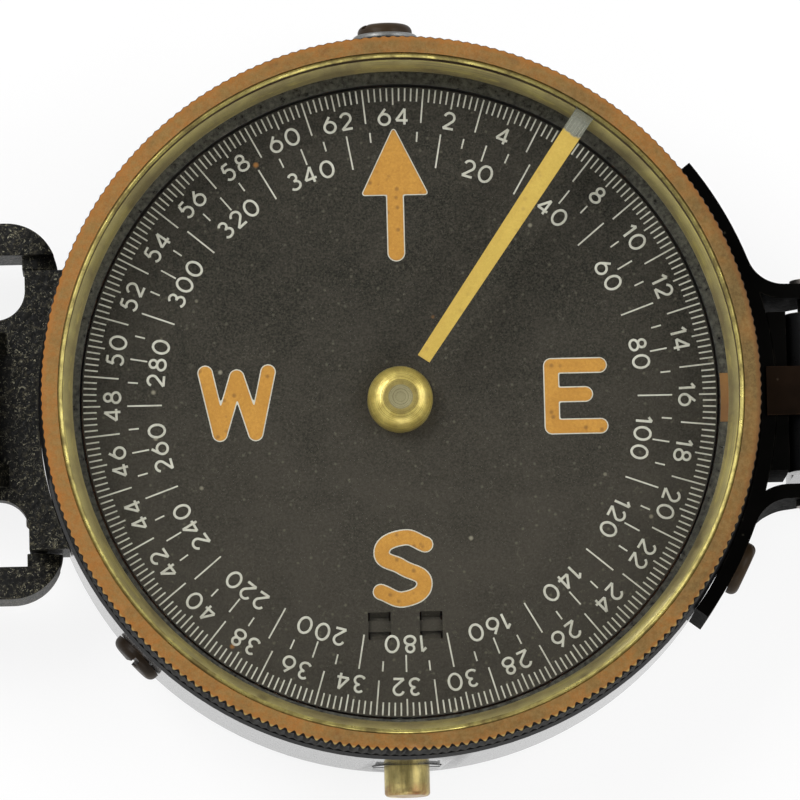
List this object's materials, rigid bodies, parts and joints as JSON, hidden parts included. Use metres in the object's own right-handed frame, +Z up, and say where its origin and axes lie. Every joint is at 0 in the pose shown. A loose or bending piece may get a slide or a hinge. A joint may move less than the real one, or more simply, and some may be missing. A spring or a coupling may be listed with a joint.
{
  "type": "lensatic marching compass",
  "caption": "Round pocket marching compass: turning window ring, swinging card dial, hinged sighting lid, folding eyepiece lens and thumb ring.",
  "frame": {"origin": "centre of the round case's flat bottom, on the surface that the open compass lies on", "axes": "+X towards the opened lid, +Y where the dial's north arrow rests, +Z up along the dial's pivot"},
  "size_m": [0.149, 0.0623, 0.0178],
  "materials": {
    "black_enamel": "glossy black stoving enamel on brass, rubbed at the edges",
    "crinkle_enamel": "fine crinkled black enamel, worn to a shine on the edges",
    "aged_brass": "brass under old orange-brown lacquer, tarnished and streaked",
    "bright_brass": "turned brass, still yellow",
    "polished_brass": "polished brass dome, dulled on top",
    "copper": "spun copper",
    "dial_black": "matt black dial with pale figures and specks of dust",
    "luminous_paint": "old luminous paint, orange-tan and slightly granular",
    "index_paint": "brown-orange index patch with a dark dot",
    "glass": "clear flat glass",
    "lens_glass": "clear ground lens",
    "jewel": "ground sapphire bearing stone",
    "gasket": "black sealing ring, gone hard",
    "magnet_steel": "hardened magnet steel, blued",
    "spring_steel": "bright spring steel wire and sheet",
    "pin_steel": "turned steel, slightly tarnished",
    "washer_steel": "dull grey plated washer",
    "dark_screw": "brown-black glossy lacquer on brass screws and rivets",
    "dark_bronze": "dark brown bronze leaf spring"
  },
  "bodies": {
    "case": {"case_body": "black_enamel", "damping_bowl": "copper", "index_patch": "index_paint", "pivot_base": "bright_brass", "pivot_post": "pin_steel", "bezel_snap_ring": "spring_steel", "bezel_click_spring": "spring_steel", "plunger_bush": "aged_brass", "case_screws": "dark_screw", "case_screw_washers": "washer_steel", "hinge_bracket": "black_enamel", "bracket_rivets": "dark_screw", "hinge_block": "black_enamel", "hinge_block_screws": "dark_screw", "lid_friction_leaf": "dark_bronze", "lid_hinge_pin": "pin_steel", "rear_bracket": "crinkle_enamel", "rear_bracket_rivets": "dark_screw", "eyepiece_hinge_pin": "pin_steel", "thumb_ring_pins": "pin_steel", "lifter_spring": "spring_steel"},
    "bezel": {"bezel_ring": "aged_brass", "crystal_gasket": "gasket", "crystal": "glass", "crystal_retainer": "bright_brass", "luminous_line": "luminous_paint"},
    "dial_lifter": {"lifter": "bright_brass"},
    "dial": {"dial_card": "dial_black", "magnet_bar": "magnet_steel", "dial_cap": "polished_brass", "jewel_bearing": "jewel", "cap_washer": "bright_brass", "balance_weight": "spring_steel"},
    "push_button": {"plunger": "aged_brass", "plunger_clip": "spring_steel"},
    "lid": {"lid_hinge": "black_enamel", "lid_hinge_rivets": "dark_screw", "lid_shell": "black_enamel", "sighting_wire": "spring_steel", "wire_screws": "dark_screw", "luminous_dots": "luminous_paint"},
    "eyepiece": {"eyepiece_bracket": "crinkle_enamel", "eyepiece_lens": "lens_glass", "lens_ring": "aged_brass"},
    "thumb_loop": {"thumb_ring": "crinkle_enamel"}
  },
  "joints": [
    {"name": "bezel_turn", "type": "hinge", "parent": "case", "child": "bezel", "pos_m": [0, 0, 0.01775], "axis": [0, 0, 1], "continuous": true},
    {"name": "button_press", "type": "slide", "parent": "case", "child": "push_button", "axis": [0, 1, 0], "range_m": [0, 0.0014], "stiffness_N_per_m": 300, "springref_m": -0.0008},
    {"name": "lifter_rise", "type": "slide", "parent": "case", "child": "dial_lifter", "axis": [0, 0, 1], "range_m": [0, 0.00038], "deforming": ["lifter_spring"]},
    {"name": "dial_swing", "type": "hinge", "parent": "dial_lifter", "child": "dial", "pos_m": [0, 0, 0.01217], "axis": [0, 0, 1], "continuous": true},
    {"name": "lid_turn", "type": "hinge", "parent": "case", "child": "lid", "pos_m": [0.0331, 0, 0.01093], "axis": [0, -1, 0], "range_deg": [0, 180]},
    {"name": "eyepiece_turn", "type": "hinge", "parent": "case", "child": "eyepiece", "pos_m": [-0.0338, 0, 0.01342], "axis": [0, 1, 0], "range_deg": [0, 180]},
    {"name": "thumb_ring_turn", "type": "hinge", "parent": "case", "child": "thumb_loop", "pos_m": [-0.0289, 0, 0.0081], "axis": [0, 1, 0], "range_deg": [-90, 90]}
  ],
  "couplings": [
    {"joint": "lifter_rise", "follows": "button_press", "ratio": 0.26795}
  ]
}
